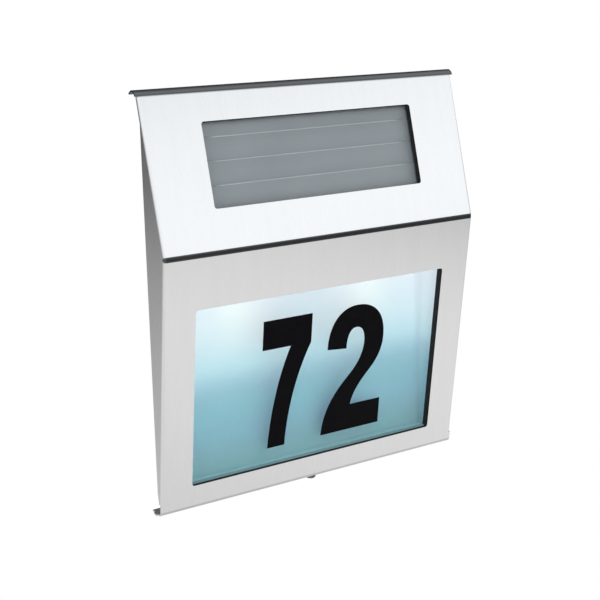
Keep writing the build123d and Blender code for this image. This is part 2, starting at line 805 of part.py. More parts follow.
def circuit_coil():
    """Drum choke: two end flanges with a waist for the winding."""
    base = (board_right - coil_inset, board_front, board_low + coil_height_on_board)
    drum = upright(base, coil_waist, coil_height, (0, -1, 0))
    drum += upright(base, coil_radius, coil_flange, (0, -1, 0))
    far = (base[0], board_front - coil_height + coil_flange, base[2])
    return drum + upright(far, coil_radius, coil_flange, (0, -1, 0))


def circuit_capacitor():
    """Upright can with a rolled edge at its top."""
    base = (board_left + capacitor_on_board[0], board_front, board_low + capacitor_on_board[1])
    can = upright(base, capacitor_radius, capacitor_height, (0, -1, 0))
    return fillet(can.edges().group_by(Axis.Y)[0], capacitor_round)


def switch_body():
    """Slide switch on the back of the board, with the slot that its knob runs in."""
    width, height, proud = switch_size
    middle = switch_x + knob_travel / 2
    face = board_rear + proud
    body = block(Plane.XY, (middle - width / 2, board_rear, switch_z - height / 2),
                 (middle + width / 2, face, switch_z + height / 2))
    half_x = knob_size[0] / 2 + knob_gap
    half_z = knob_size[1] / 2 + knob_gap
    floor = face - knob_sink - knob_gap
    return body - block(Plane.XY, (switch_x - half_x, floor, switch_z - half_z),
                        (switch_x + half_x + knob_travel, face + overcut, switch_z + half_z))


def switch_knob():
    """Square knob that shows through the housing's back."""
    low = (switch_x - knob_size[0] / 2, board_rear + switch_size[2] - knob_sink,
           switch_z - knob_size[1] / 2)
    high = (switch_x + knob_size[0] / 2, case_rear + knob_proud, switch_z + knob_size[1] / 2)
    knob = block(Plane.XY, low, high)
    return fillet(knob.edges().filter_by(Axis.Z).group_by(Axis.Y)[-1], knob_round)


def wire(points, radius):
    """A wire along straight runs with a round bend at each corner."""
    path = FilletPolyline(*points, radius=radius)
    return sweep(Plane(origin=path @ 0, z_dir=path % 0) * Circle(wire_radius), path=path)


def solar_wires():
    """Pair of leads from the solar module's back to the circuit board."""
    rise = solar_bottom_margin + solar_wire_step
    end = upper_point(rise, module_back)
    near = upper_point(rise, module_back + 2 * wire_pitch)
    start_z = board_high - 3 * wire_pitch
    leads = []
    for x in (solar_wire_x, solar_wire_x + wire_pitch):
        points = [(x, board_front, start_z), (x, board_front - 2 * wire_pitch, start_z),
                  (x, *near), (x, *end)]
        leads.append(wire(points, wire_bend))
    return Compound(children=leads)


def light_wires():
    """Pair of leads from the circuit board down to the light board."""
    start_z = board_low + 2 * wire_pitch
    down_y = board_front - 1.5 * wire_pitch
    rest = light_plane().from_local_coords((0, 0, light_board))
    end_z = rest.Z + (down_y - rest.Y + wire_radius) * tan(lean)
    leads = []
    for x in (light_wire_x - wire_pitch / 2, light_wire_x + wire_pitch / 2):
        points = [(x, board_front, start_z), (x, down_y, start_z), (x, down_y, end_z)]
        leads.append(wire(points, wire_bend))
    return Compound(children=leads)


# wall plate
def wall_plate():
    """Plate against the wall: hook rail on a shelf at its top, tongue at its bottom."""
    case_top = case_line(module_back)[0][1]
    shelf_top = case_top + shelf_clearance + plate
    rail_top = hook_centre[1] + hook_radius - sheet - rail_gap
    rail_front = hook_centre[0] - plate / 2
    back_line = [(0, bottom_z + 2 * side_notch), (0, shelf_top), (rail_front + plate, shelf_top),
                 (rail_front + plate, rail_top)]
    back_line = back_line[::-1]
    radii = [plate_bend - plate, plate_bend]
    upper = bent_sheet(back_line, radii, -plate, plate_half_width)
    low = (plate_half_width - rail_inset, rail_front - overcut, shelf_top - 2 * plate_bend)
    sides = block(Plane.XY, low, (plate_half_width + overcut, -plate - 0.01, rail_top + overcut))
    upper -= both_sides(sides)
    tongue_line = [(0, bottom_z + 3 * side_notch), (0, tongue_z), (screw_y - tongue_end, tongue_z)]
    tongue = bent_sheet(tongue_line, [plate_bend], -plate, tongue_half_width)
    shape = upper + tongue
    for x in (-1, 1):
        for z in (-1, 1):
            hole_x = x * wall_hole_spacing[0] / 2
            hole_z = z * wall_hole_spacing[1] / 2
            shape -= upright((hole_x, plate, hole_z), wall_hole_radius, 3 * plate, (0, -1, 0))
    bore = upright((0, screw_y, tongue_z - overcut), screw_radius + screw_play,
                   plate + 2 * overcut, (0, 0, 1))
    return shape - bore


def press_nut():
    """Round press nut on the tongue, chamfered at its top."""
    nut = upright((0, screw_y, tongue_top), press_nut_radius, press_nut_height, (0, 0, 1))
    nut = chamfer(nut.edges().group_by(Axis.Z)[-1], press_nut_edge)
    bore = upright((0, screw_y, tongue_top - overcut), screw_radius + thread_clearance,
                   press_nut_height + 2 * overcut, (0, 0, 1))
    return nut - bore


def securing_screw():
    """Pan-head screw from below, with a cross recess in its head."""
    seat = bottom_z - head_gap
    head = upright((0, screw_y, seat), head_radius, head_height, (0, 0, -1))
    head = fillet(head.edges().group_by(Axis.Z)[0], head_round)
    length = tongue_top + press_nut_height + screw_tip - seat
    shank = upright((0, screw_y, seat), screw_radius, length, (0, 0, 1))
    shank = chamfer(shank.edges().group_by(Axis.Z)[-1], screw_tip)
    bottom = seat - head_height
    floor = bottom + recess_depth
    half = recess_width / 2
    recess = block(Plane.XY, (-recess_reach, screw_y - half, bottom),
                   (recess_reach, screw_y + half, floor))
    recess += block(Plane.XY, (-half, screw_y - recess_reach, bottom),
                    (half, screw_y + recess_reach, floor))
    return head + shank - recess


nodes = {
    "front_cover": front_cover(),
    "cover_studs": cover_studs(),
    "stud_nuts": stud_nuts(),
    "number_gasket": window_frame(lower_plane, number_window, -window_bottom_drop, -sheet,
                                  -panel_depth),
    "number_panel": window_plate(lower_plane, number_window, -window_bottom_drop, -panel_depth,
                                 panel, gasket_rim),
    "solar_gasket": window_frame(upper_plane, solar_window, solar_bottom_margin, -sheet,
                                 -glass_depth),
    "solar_glass": solar_cover(),
    "solar_cells": solar_cells(),
    "solar_backing": window_plate(upper_plane, solar_window, solar_bottom_margin,
                                  solar_backing - module_back, solar_backing, module_top_rim),
    "light_box": light_box(),
    "light_board": light_board_shape(),
    "light_left": light(-light_x),
    "light_right": light(light_x),
    "battery_housing": battery_housing(),
    "battery_door": battery_door(),
    "battery_cell": battery_cell(),
    "contact_spring": contact_spring(),
    "contact_plate": contact_plate(),
    "circuit_board": circuit_board(),
    "board_screws": board_screws(),
    "circuit_chip": circuit_chip(),
    "circuit_coil": circuit_coil(),
    "circuit_capacitor": circuit_capacitor(),
    "switch_body": switch_body(),
    "switch_knob": switch_knob(),
    "solar_wires": solar_wires(),
    "light_wires": light_wires(),
    "wall_plate": wall_plate(),
    "press_nut": press_nut(),
    "securing_screw": securing_screw(),
}

os.makedirs("parts", exist_ok=True)
for name, shape in nodes.items():
    export_step(shape, f"parts/{name}.step")
    print(name, len(shape.solids()), round(shape.volume, 1))
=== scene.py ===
from math import cos, pi, radians, sin
import bpy
import numpy as np
from mathutils import Matrix, Vector


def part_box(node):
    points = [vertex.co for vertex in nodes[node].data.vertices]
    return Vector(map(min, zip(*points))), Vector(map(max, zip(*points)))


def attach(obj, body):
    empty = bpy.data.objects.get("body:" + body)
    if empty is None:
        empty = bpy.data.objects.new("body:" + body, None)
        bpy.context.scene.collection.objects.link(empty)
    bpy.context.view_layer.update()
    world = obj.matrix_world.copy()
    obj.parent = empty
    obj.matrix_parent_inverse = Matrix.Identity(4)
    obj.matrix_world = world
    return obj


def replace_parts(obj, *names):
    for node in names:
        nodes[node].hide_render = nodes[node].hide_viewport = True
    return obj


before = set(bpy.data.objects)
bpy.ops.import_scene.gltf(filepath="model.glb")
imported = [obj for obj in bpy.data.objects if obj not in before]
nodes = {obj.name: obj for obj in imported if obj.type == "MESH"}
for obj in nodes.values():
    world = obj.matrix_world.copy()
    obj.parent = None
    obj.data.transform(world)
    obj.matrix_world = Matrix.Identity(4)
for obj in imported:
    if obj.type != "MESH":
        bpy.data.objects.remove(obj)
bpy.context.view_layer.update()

mm = 0.001
acrossSign = np.array([1.0, 0.0, 0.0])      # to the right as seen from the front
upright = np.array([0.0, 0.0, 1.0])


def linearColour(hexColour):
    # sRGB hex to linear light, with 1.0 added as alpha
    channels = [int(hexColour[i:i + 2], 16) / 255 for i in (1, 3, 5)]
    linear = [c / 12.92 if c <= 0.04045 else ((c + 0.055) / 1.055) ** 2.4 for c in channels]
    return (*linear, 1.0)


def addNode(tree, kind, inputs=None, **settings):
    # one shader node, its settings, and each input set to a value or linked to a socket
    node = tree.nodes.new("ShaderNode" + kind)
    for name, value in settings.items():
        setattr(node, name, value)
    for name, value in (inputs or {}).items():
        if isinstance(value, bpy.types.NodeSocket):
            tree.links.new(value, node.inputs[name])
        else:
            node.inputs[name].default_value = value
    return node


def mathNode(tree, operation, *values):
    return addNode(tree, "Math", dict(enumerate(values)), operation=operation).outputs[0]


def startMaterial(name, **inputs):
    # a Principled material; keyword colours are hex strings, other values go in as they are
    material = bpy.data.materials.new(name)
    material.use_nodes = True
    tree = material.node_tree
    shader = tree.nodes["Principled BSDF"]
    for key, value in inputs.items():
        socket = shader.inputs[key.replace("_", " ")]
        socket.default_value = linearColour(value) if isinstance(value, str) else value
    return material, tree, shader


def objectPattern(tree, kind, size, stretch=(1, 1, 1), turn=(0, 0, 0), **inputs):
    # a noise, wave or cell texture on Object coordinates whose grain is size millimetres
    place = addNode(tree, "TexCoord").outputs["Object"]
    scale = [1 / (size * mm * s) for s in stretch]
    place = addNode(tree, "Mapping", {"Vector": place, "Scale": scale, "Rotation": turn})
    settings = {k: v for k, v in inputs.items() if k[0].islower()}
    sockets = {k.replace("_", " "): v for k, v in inputs.items() if k[0].isupper()}
    sockets["Vector"] = place.outputs[0]
    sockets["Scale"] = 1.0
    return addNode(tree, kind, sockets, **settings)


def spread(tree, value, low, high, start=0.0, end=1.0):
    # value from start..end is carried over to low..high
    span = {"Value": value, 1: start, 2: end, 3: low, 4: high}
    return addNode(tree, "MapRange", span).outputs[0]


def twoTone(tree, factor, first, second):
    mix = addNode(tree, "Mix", {"Factor": factor}, data_type="RGBA")
    mix.inputs[6].default_value = linearColour(first)
    mix.inputs[7].default_value = linearColour(second)
    return mix.outputs[2]


def colourStops(tree, value, stops):
    # a colour ramp with any number of (place, colour) stops
    node = addNode(tree, "ValToRGB", {0: value})
    ramp = node.color_ramp
    ramp.elements.remove(ramp.elements[0])
    for index, (place, colour) in enumerate(stops):
        stop = ramp.elements[0] if index == 0 else ramp.elements.new(place)
        stop.position, stop.color = place, colour
    return node.outputs[0]


def layTone(tree, factor, tone, hexColour):
    # a colour laid over another one by factor
    mix = addNode(tree, "Mix", {"Factor": factor, 6: tone}, data_type="RGBA")
    mix.inputs[7].default_value = linearColour(hexColour)
    return mix.outputs[2]


def wearIn(tree, shader, colours, roughness, grain, depth, stretch=(1, 1, 1), detail=4.0):
    # a moulded or rolled face: two close tones, uneven gloss and fine relief from one noise each
    broad = objectPattern(tree, "TexNoise", grain * 14, stretch, Detail=3.0).outputs[0]
    fine = objectPattern(tree, "TexNoise", grain, stretch, Detail=detail).outputs[0]
    tone = twoTone(tree, spread(tree, broad, 0, 1, 0.3, 0.7), *colours)
    tree.links.new(tone, shader.inputs["Base Color"])
    tree.links.new(spread(tree, fine, *roughness, 0.3, 0.7), shader.inputs["Roughness"])
    relief = addNode(tree, "Bump", {"Height": fine, "Strength": 0.6, "Distance": depth * mm})
    tree.links.new(relief.outputs[0], shader.inputs["Normal"])
    return fine


faces = {
    "fold": np.array([0.0, -31.976, 25.52]),    # corner where the two faces meet
    "lower": -7.0,              # degrees that the face leans from upright, back at its foot
    "upper": 15.5,              # and back at its top
}


def faceUp(face):
    # direction up a face
    tilt = radians(faces[face])
    return np.array([0.0, sin(tilt), cos(tilt)])


def faceIn(face):
    # direction from a face into the sign
    tilt = radians(faces[face])
    return np.array([0.0, cos(tilt), -sin(tilt)])


def onFace(face, across, up, depth):
    # a point, or arrays of points, across and up a face from the fold's middle, and deep behind it
    across, up, depth = np.broadcast_arrays(across, up, depth)
    side = across[..., None] * acrossSign
    return faces["fold"] + side + up[..., None] * faceUp(face) + depth[..., None] * faceIn(face)


def closedSkin(name, shells, body, slot, finish=None, wrap=False):
    # one piece from shells of rings, each an array (ring, point, xyz) in mm. Neighbouring rings are
    # joined by quads, and the ends are closed by a centre point, or joined to each other by wrap.
    # The finish is the slot's own unless another one is given
    points, sides = [], []
    start = 0
    for rings in shells:
        count, around = rings.shape[:2]
        flat = rings.reshape(-1, 3)
        steps = np.arange(count if wrap else count - 1)
        ring, point = np.meshgrid(steps, np.arange(around), indexing="ij")
        after, beside = (ring + 1) % count, (point + 1) % around
        quads = np.stack([ring * around + point, ring * around + beside,
                          after * around + beside, after * around + point], axis=-1).reshape(-1, 4)
        corner, u, v = flat[quads[:, 0]], flat[quads[:, 1]], flat[quads[:, 3]]
        centre = flat.mean(axis=0)
        out = np.einsum("ij,ij->", np.cross(u - corner, v - corner), corner - centre) > 0
        shellSides = quads.tolist()
        if not wrap:
            edge = np.arange(around)
            turned = (edge + 1) % around
            tip, last = count * around, (count - 1) * around
            shellSides += np.stack([turned, edge, np.full(around, tip)], axis=1).tolist()
            far = np.full(around, tip + 1)
            shellSides += np.stack([last + edge, last + turned, far], axis=1).tolist()
            flat = np.vstack([flat, rings[0].mean(axis=0), rings[-1].mean(axis=0)])
        if not out:
            shellSides = [side[::-1] for side in shellSides]
        sides += [[index + start for index in side] for side in shellSides]
        points.append(flat)
        start += len(flat)
    mesh = bpy.data.meshes.new(name)
    mesh.from_pydata((np.vstack(points) * mm).tolist(), [], sides)
    mesh.shade_smooth()
    mesh.set_sharp_from_angle(angle=radians(35))
    mesh.materials.append(finish or finishes[slot])
    piece = bpy.data.objects.new(name, mesh)
    bpy.context.scene.collection.objects.link(piece)
    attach(piece, body)
    return piece


brushed = {
    "light": "#e7e7e7",
    "dark": "#dfdfdf",
    "lineWidth": 0.3,         # mm across one scratch of the brushing
    "lineLength": 14.0,       # mm along it
    "roughness": (0.27, 0.31),
    "anisotropy": 0.86,
    "relief": 0.003,          # mm deep
    "cloudWidth": 5.0,        # mm across the broad streaks that the belt leaves
    "cloudLength": 45.0,
    "cloud": (0.99, 1.01),    # how much they darken and lighten the steel
    "paintedDarkReflection": "#6f7072",   # painted dark reflection along the folds and the hook
    "foldReach": (1.15, 1.4), # how far from the fold's corner, and where it has faded out
    "hook": (96.3, 97.0),     # the rolled hook carries the painted dark reflection above this height
    "cutEdgeAndShade": "#2e2f31",     # laser-cut edge of the windows: laser oxide and painted shade of the recess walls
    "cutDullness": 0.25,      # roughness that the laser added there
    "cutWithin": (80.0, -7.0, 92.0),    # the windows' half width, middle height and half height
}


def nearFold(tree, place):
    # 1 within reach of the fold's corner, which runs across the sign, falling to 0 where it fades
    flat = addNode(tree, "VectorMath", {0: place, 1: (0, 1, 1)}, operation="MULTIPLY").outputs[0]
    corner = addNode(tree, "VectorMath", {0: flat, 1: faces["fold"] * mm}, operation="DISTANCE")
    reach, fade = brushed["foldReach"]
    return spread(tree, corner.outputs["Value"], 1, 0, reach * mm, fade * mm)


def brushedStainless():
    # AISI 304 sheet brushed up and down with a belt: reflections stay sharp along the height and
    # smear sideways, with hair lines that run the full height of each face. The folds and the hook
    # carry a painted dark reflection, and the windows' cut edges are dull from the laser and dark
    # from laser oxide and painted shade of the recess
    material, tree, shader = startMaterial(
        "brushedStainless", Metallic=1.0, Roughness=0.3, Anisotropic=brushed["anisotropy"])
    place = addNode(tree, "TexCoord")
    at = addNode(tree, "SeparateXYZ", {0: place.outputs["Object"]})
    facing = addNode(tree, "SeparateXYZ", {0: place.outputs["Normal"]})
    sideways = mathNode(tree, "GREATER_THAN", mathNode(tree, "ABSOLUTE", facing.outputs["X"]), 0.6)
    across = addNode(tree, "Mix", {"Factor": sideways, 2: at.outputs["X"], 3: at.outputs["Y"]})
    scratch = addNode(tree, "CombineXYZ", {"X": across.outputs[0], "Z": at.outputs["Z"]})
    scale = (1 / (brushed["lineWidth"] * mm), 1.0, 1 / (brushed["lineLength"] * mm))
    lines = addNode(tree, "Mapping", {"Vector": scratch.outputs[0], "Scale": scale}).outputs[0]
    hair = addNode(tree, "TexNoise", {"Vector": lines, "Scale": 1.0, "Detail": 3.0, "Roughness": 0.6})
    hair = hair.outputs[0]
    tone = twoTone(tree, spread(tree, hair, 0, 1, 0.3, 0.7), brushed["dark"], brushed["light"])
    scale = (1 / (brushed["cloudWidth"] * mm), 1.0, 1 / (brushed["cloudLength"] * mm))
    streaks = addNode(tree, "Mapping", {"Vector": scratch.outputs[0], "Scale": scale}).outputs[0]
    cloud = addNode(tree, "TexNoise", {"Vector": streaks, "Scale": 1.0, "Detail": 2.0}).outputs[0]
    cloud = spread(tree, cloud, *brushed["cloud"], 0.3, 0.7)
    tone = addNode(tree, "VectorMath", {0: tone, "Scale": cloud}, operation="SCALE").outputs[0]
    # painted dark reflection: a darker band along the fold's corner and on the hook
    atHook = spread(tree, at.outputs["Z"], 0, 1, brushed["hook"][0] * mm, brushed["hook"][1] * mm)
    darkReflectionBands = mathNode(tree, "MAXIMUM", nearFold(tree, place.outputs["Object"]), atHook)
    tone = layTone(tree, darkReflectionBands, tone, brushed["paintedDarkReflection"])
    # the windows' cut edges: dark laser oxide and painted shade of the window recess
    halfWidth, middle, halfHeight = brushed["cutWithin"]
    inWindows = mathNode(tree, "LESS_THAN", mathNode(tree, "ABSOLUTE", at.outputs["X"]), halfWidth * mm)
    upward = mathNode(tree, "GREATER_THAN", mathNode(tree, "ABSOLUTE", facing.outputs["Z"]), 0.8)
    between = mathNode(tree, "COMPARE", at.outputs["Z"], middle * mm, halfHeight * mm)
    edge = mathNode(tree, "MAXIMUM", sideways, mathNode(tree, "MULTIPLY", upward, between))
    edge = mathNode(tree, "MULTIPLY", edge, inWindows)
    tone = layTone(tree, edge, tone, brushed["cutEdgeAndShade"])
    tree.links.new(tone, shader.inputs["Base Color"])
    gloss = spread(tree, hair, *brushed["roughness"], 0.35, 0.65)
    gloss = mathNode(tree, "MULTIPLY_ADD", edge, brushed["cutDullness"], gloss)
    tree.links.new(gloss, shader.inputs["Roughness"])
    relief = addNode(tree, "Bump", {"Height": hair, "Strength": 0.5,
                                    "Distance": brushed["relief"] * mm})
    tree.links.new(relief.outputs[0], shader.inputs["Normal"])
    smear = addNode(tree, "CombineXYZ", {"X": 1.0, "Y": 0.08})
    tree.links.new(smear.outputs[0], shader.inputs["Tangent"])
    return material


def rolledStainless():
    # plain 2B sheet of the wall plate: cloudy, with faint rolling marks
    material, tree, shader = startMaterial("rolledStainless", Metallic=1.0)
    wearIn(tree, shader, ("#c3c5c7", "#bbbdbf"), roughness=(0.3, 0.36), grain=0.9, depth=0.0015,
           stretch=(1, 1, 9), detail=2.0)
    return material


def turnedStainless(name, tones):
    # screws, studs and nuts: tool marks, and two close tones that vary at random
    material, tree, shader = startMaterial(name, Metallic=1.0)
    wearIn(tree, shader, tones, roughness=(0.16, 0.32), grain=0.18, depth=0.01)
    return material


glow = {
    "top": -12.0,              # mm, height on the rear wall where each light lands
    "bottom": -92.0,
    "lamps": 39.0,             # mm from the middle to each light
    "spot": 24.0,              # mm round that place that shine brighter still
    "strength": 0.92,
    "spotColour": "#b08768",
    "sideWalls": (70.0, 73.0, 0.6),     # mm from the middle where the light fades, and to how much
    "inside": (75.2, -4.8),    # half width and rear of the space that the lights fill
    "drops": (21.3, 121.8),    # how far down the lower face it starts and ends
    "walls": (                 # share of the way up from bottom to top, light on the walls there
        (0.0, "#464e58"), (0.14, "#5a5a72"), (0.27, "#696f8b"), (0.4, "#6a7c90"), (0.5, "#85829a"),
        (0.57, "#a59bb0"), (0.66, "#cfc0cb"), (0.8, "#ecc6d1"), (1.0, "#f7cad4")),
}

acrylic = {"tint": "#c0ebee", "haze": (0.2, 0.25)}


def hazyAcrylic():
    # extruded acrylic sheet, tinted blue-green through its depth and slightly frosted behind,
    # so the lights show as soft blooms and the box behind it only dimly
    material, tree, shader = startMaterial(
        "hazyAcrylic", Base_Color=acrylic["tint"], Transmission_Weight=1.0, IOR=1.49, Roughness=0.2)
    frost = objectPattern(tree, "TexNoise", 2.5, Detail=2.0).outputs[0]
    tree.links.new(spread(tree, frost, *acrylic["haze"], 0.3, 0.7), shader.inputs["Roughness"])
    relief = addNode(tree, "Bump", {"Height": frost, "Strength": 0.3, "Distance": 0.002 * mm})
    tree.links.new(relief.outputs[0], shader.inputs["Normal"])
    return material


def lampSpot(tree, place, lampX):
    # bright spot that one light throws on the rear wall: 1 / (1 + (distance / spot)^2)^2
    flat = addNode(tree, "VectorMath", {0: place, 1: (1, 0, 1)}, operation="MULTIPLY").outputs[0]
    spot = (lampX * mm, 0, glow["top"] * mm)
    away = addNode(tree, "VectorMath", {0: flat, 1: spot}, operation="DISTANCE").outputs["Value"]
    away = mathNode(tree, "POWER", mathNode(tree, "DIVIDE", away, glow["spot"] * mm), 2.0)
    return mathNode(tree, "POWER", mathNode(tree, "ADD", away, 1.0), -2.0)


def whiteMoulding():
    # gloss white ABS tray behind the panel; its inside carries painted light for what the two lamps
    # throw down the walls, warm white at the top and fading below the edge of their beam
    material, tree, shader = startMaterial("whiteMoulding")
    wearIn(tree, shader, ("#eeefed", "#e6e8e6"), roughness=(0.3, 0.42), grain=0.35, depth=0.006)
    place = addNode(tree, "TexCoord").outputs["Object"]
    at = addNode(tree, "SeparateXYZ", {0: place})
    along = spread(tree, at.outputs["Z"], 0, 1, glow["bottom"] * mm, glow["top"] * mm)
    walls = colourStops(tree, along, [(share, linearColour(tone)) for share, tone in glow["walls"]])
    spots = mathNode(tree, "ADD", *[lampSpot(tree, place, side * glow["lamps"]) for side in (-1, 1)])
    shine = addNode(tree, "Mix", {"Factor": spots, 6: walls}, data_type="RGBA", blend_type="ADD")
    shine.inputs[7].default_value = linearColour(glow["spotColour"])
    halfWidth, rear = glow["inside"]
    side = mathNode(tree, "LESS_THAN", mathNode(tree, "ABSOLUTE", at.outputs["X"]), halfWidth * mm)
    inside = mathNode(tree, "MULTIPLY", side, mathNode(tree, "LESS_THAN", at.outputs["Y"], rear * mm))
    corner = addNode(tree, "VectorMath", {0: place, 1: faces["fold"] * mm}, operation="SUBTRACT")
    down = addNode(tree, "VectorMath", {0: corner.outputs[0], 1: -faceUp("lower")},
                   operation="DOT_PRODUCT")
    first, last = glow["drops"]
    middle, half = (first + last) / 2 * mm, (last - first) / 2 * mm
    within = mathNode(tree, "COMPARE", down.outputs["Value"], middle, half)
    inside = mathNode(tree, "MULTIPLY", inside, within)
    near, far, dim = glow["sideWalls"]
    fromMiddle = mathNode(tree, "ABSOLUTE", at.outputs["X"])
    strength = spread(tree, fromMiddle, glow["strength"], dim * glow["strength"], near * mm, far * mm)
    strength = mathNode(tree, "MULTIPLY", inside, strength)
    # painted light: the tray's inside glows by emission in place of lamp light
    tree.links.new(shine.outputs[2], shader.inputs["Emission Color"])
    tree.links.new(strength, shader.inputs["Emission Strength"])
    return material


def lampLens():
    # clear epoxy lens of a white light emitting diode, bright at its core
    material, tree, shader = startMaterial(
        "lampLens", Base_Color="#f4f8ff", Emission_Color="#e6f0ff", Emission_Strength=2.0)
    haze = objectPattern(tree, "TexNoise", 0.6, Detail=2.0).outputs[0]
    tree.links.new(spread(tree, haze, 0.05, 0.14, 0.3, 0.7), shader.inputs["Roughness"])
    return material


def vinylFilm():
    # self-adhesive black film cut to the figures, satin with a fine calendered skin
    material, tree, shader = startMaterial("vinylFilm", Specular_IOR_Level=0.05)
    wearIn(tree, shader, ("#060508", "#0b0a0d"), roughness=(0.38, 0.5), grain=0.25, depth=0.003)
    return material


foam = {
    "pore": 0.4,                # mm across one pore
    "tones": ("#0b0b0c", "#232324"),
    "lit": "#7fa3a8",           # painted light from the panel on the ledge under the number window
    "litBelow": -80.0,          # height under which that ledge lies
    "litDepth": (1.6, 2.0),     # depth behind the face where it starts
}


def cellFoam():
    # black closed-cell foam: open pores with a dull skin between them, and painted light from the
    # panel along its lower ledge
    material, tree, shader = startMaterial("cellFoam")
    pores = objectPattern(tree, "TexVoronoi", foam["pore"]).outputs["Distance"]
    tone = twoTone(tree, spread(tree, pores, 0, 1, 0.0, 0.7), *foam["tones"])
    place = addNode(tree, "TexCoord")
    upward = addNode(tree, "SeparateXYZ", {0: place.outputs["Normal"]}).outputs["Z"]
    height = addNode(tree, "SeparateXYZ", {0: place.outputs["Object"]}).outputs["Z"]
    corner = addNode(tree, "VectorMath", {0: place.outputs["Object"], 1: faces["fold"] * mm},
                     operation="SUBTRACT").outputs[0]
    deep = addNode(tree, "VectorMath", {0: corner, 1: faceIn("lower")}, operation="DOT_PRODUCT")
    low = mathNode(tree, "LESS_THAN", height, foam["litBelow"] * mm)
    start, full = foam["litDepth"]
    behind = spread(tree, deep.outputs["Value"], 0, 1, start * mm, full * mm)
    # painted light from the panel on the upward ledge under the number window
    ledge = mathNode(tree, "MULTIPLY", mathNode(tree, "GREATER_THAN", upward, 0.8), low)
    ledge = mathNode(tree, "MULTIPLY", ledge, behind)
    tone = layTone(tree, ledge, tone, foam["lit"])
    tree.links.new(tone, shader.inputs["Base Color"])
    tree.links.new(spread(tree, pores, 0.75, 0.95), shader.inputs["Roughness"])
    relief = addNode(tree, "Bump", {"Height": pores, "Strength": 0.8, "Distance": 0.12 * mm})
    tree.links.new(relief.outputs[0], shader.inputs["Normal"])
    return material


def solarGlass():
    # clear cover of the module, etched against glare: see-through, and its outer face mirrors only
    # towards a glancing view, 0.96 (1 - cosine)^5
    material, tree, shader = startMaterial("solarGlass")
    dust = objectPattern(tree, "TexNoise", 1.2, Detail=4.0).outputs[0]
    clear = addNode(tree, "BsdfTransparent", {"Color": (1, 1, 1, 1)})
    sheen = addNode(tree, "BsdfGlossy", {"Roughness": spread(tree, dust, 0.04, 0.12, 0.3, 0.7)})
    glance = addNode(tree, "LayerWeight", {"Blend": 0.5}).outputs["Facing"]
    mirror = mathNode(tree, "MULTIPLY", mathNode(tree, "POWER", glance, 5.0), 0.96)
    facing = addNode(tree, "SeparateXYZ", {0: addNode(tree, "TexCoord").outputs["Normal"]})
    outer = mathNode(tree, "LESS_THAN", facing.outputs["Y"], -0.5)
    inward = mathNode(tree, "SUBTRACT", 1.0, addNode(tree, "NewGeometry").outputs["Backfacing"])
    mirror = mathNode(tree, "MULTIPLY", mirror, mathNode(tree, "MULTIPLY", outer, inward))
    pane = addNode(tree, "MixShader", {0: mirror, 1: clear.outputs[0], 2: sheen.outputs[0]})
    tree.nodes.remove(shader)
    tree.links.new(pane.outputs[0], tree.nodes["Material Output"].inputs["Surface"])
    return material


def thinFilmSilicon():
    # amorphous silicon on glass: grey with a faint cool bloom under its clear skin
    material, tree, shader = startMaterial("thinFilmSilicon")
    wearIn(tree, shader, ("#8b9297", "#848c91"), roughness=(0.28, 0.32), grain=2.4, depth=0.0005,
           detail=2.0)
    return material


backing = {
    "tones": ("#c8cdd0", "#c0c5c8"),
    "ends": "#94999d",
    "endsFrom": (51.0, 56.0),   # mm from the middle where the grey starts and is full
}


def backingBoard():
    # pale fibre-filled sheet behind the cells, printed grey along its two ends
    material, tree, shader = startMaterial("backingBoard")
    wearIn(tree, shader, backing["tones"], roughness=(0.55, 0.7), grain=0.3, depth=0.01,
           stretch=(1, 6, 1))
    at = addNode(tree, "SeparateXYZ", {0: addNode(tree, "TexCoord").outputs["Object"]})
    first, full = backing["endsFrom"]
    ends = spread(tree, mathNode(tree, "ABSOLUTE", at.outputs["X"]), 0, 1, first * mm, full * mm)
    plain = shader.inputs["Base Color"].links[0].from_socket
    tree.links.new(layTone(tree, ends, plain, backing["ends"]), shader.inputs["Base Color"])
    return material


def texturedMoulding():
    # black ABS from a spark-eroded mould: fine even texture, satin
    material, tree, shader = startMaterial("texturedMoulding")
    wearIn(tree, shader, ("#1a1a1b", "#212122"), roughness=(0.42, 0.58), grain=0.28, depth=0.03,
           detail=1.5)
    return material


def plainMoulding(name, colours):
    # small gloss moulding with a slightly uneven skin
    material, tree, shader = startMaterial(name)
    wearIn(tree, shader, colours, roughness=(0.3, 0.45), grain=0.3, depth=0.005)
    return material


def shrinkSleeve():
    # printed-colour PVC sleeve drawn tight over the cell: glossy, with small pull marks lengthways
    material, tree, shader = startMaterial("shrinkSleeve", Coat_Weight=0.4)
    wearIn(tree, shader, ("#2f7a4b", "#2a6e44"), roughness=(0.22, 0.34), grain=0.5, depth=0.01,
           stretch=(8, 1, 1))
    return material


def platedContact(name, colours, grain=0.2):
    # nickel, tin or drawn aluminium: bright with a soft blur
    material, tree, shader = startMaterial(name, Metallic=1.0)
    wearIn(tree, shader, colours, roughness=(0.18, 0.34), grain=grain, depth=0.004)
    return material


def solderMask(name, mask, track):
    # lacquered board: copper tracks show through as slightly paler bands on a 2.5 mm grid
    material, tree, shader = startMaterial(name)
    cellsOfBoard = objectPattern(tree, "TexVoronoi", 2.5, distance="CHEBYCHEV", Randomness=0.65)
    bands = cellsOfBoard.outputs["Distance"]
    tone = twoTone(tree, spread(tree, bands, 0, 1, 0.36, 0.4), mask, track)
    tree.links.new(tone, shader.inputs["Base Color"])
    weave = objectPattern(tree, "TexNoise", 0.3, Detail=2.0).outputs[0]
    tree.links.new(spread(tree, weave, 0.25, 0.4, 0.3, 0.7), shader.inputs["Roughness"])
    relief = addNode(tree, "Bump", {"Height": bands, "Strength": 0.3, "Distance": 0.03 * mm})
    tree.links.new(relief.outputs[0], shader.inputs["Normal"])
    return material


def wireInsulation(name, colours):
    # silicone or PVC insulation, soft gloss with handling marks
    material, tree, shader = startMaterial(name)
    wearIn(tree, shader, colours, roughness=(0.35, 0.5), grain=0.4, depth=0.008)
    return material


